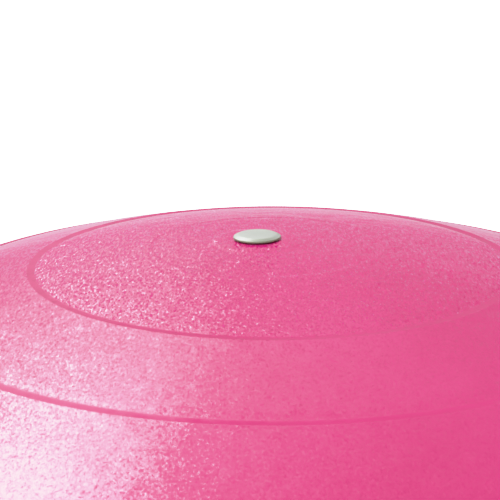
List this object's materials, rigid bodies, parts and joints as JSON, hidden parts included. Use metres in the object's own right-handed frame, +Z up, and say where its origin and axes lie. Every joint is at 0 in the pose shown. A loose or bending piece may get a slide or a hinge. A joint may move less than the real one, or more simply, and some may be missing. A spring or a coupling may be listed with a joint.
{
  "type": "exercise ball",
  "caption": "Inflated ribbed exercise ball with a flat resting patch and a round pull-out valve plug on top.",
  "frame": {"origin": "centre of the flat patch on which the ball rests, directly under the valve", "axes": "+Z straight up from the floor through the valve's axis, +X to the right and +Y away from someone who faces the ball; the ribs' common axis leans slightly from the valve towards +X"},
  "size_m": [0.751, 0.751, 0.7504],
  "materials": {
    "ball_skin": "satin",
    "valve_socket": "satin",
    "valve_plug": "satin"
  },
  "bodies": {
    "ball": {"ball_skin": "ball_skin", "valve_socket": "valve_socket"},
    "plug": {"valve_plug": "valve_plug"}
  },
  "joints": [
    {"name": "plug_pull", "type": "slide", "parent": "ball", "child": "plug", "axis": [0, 0, 1], "range_m": [0, 0.03]}
  ]
}
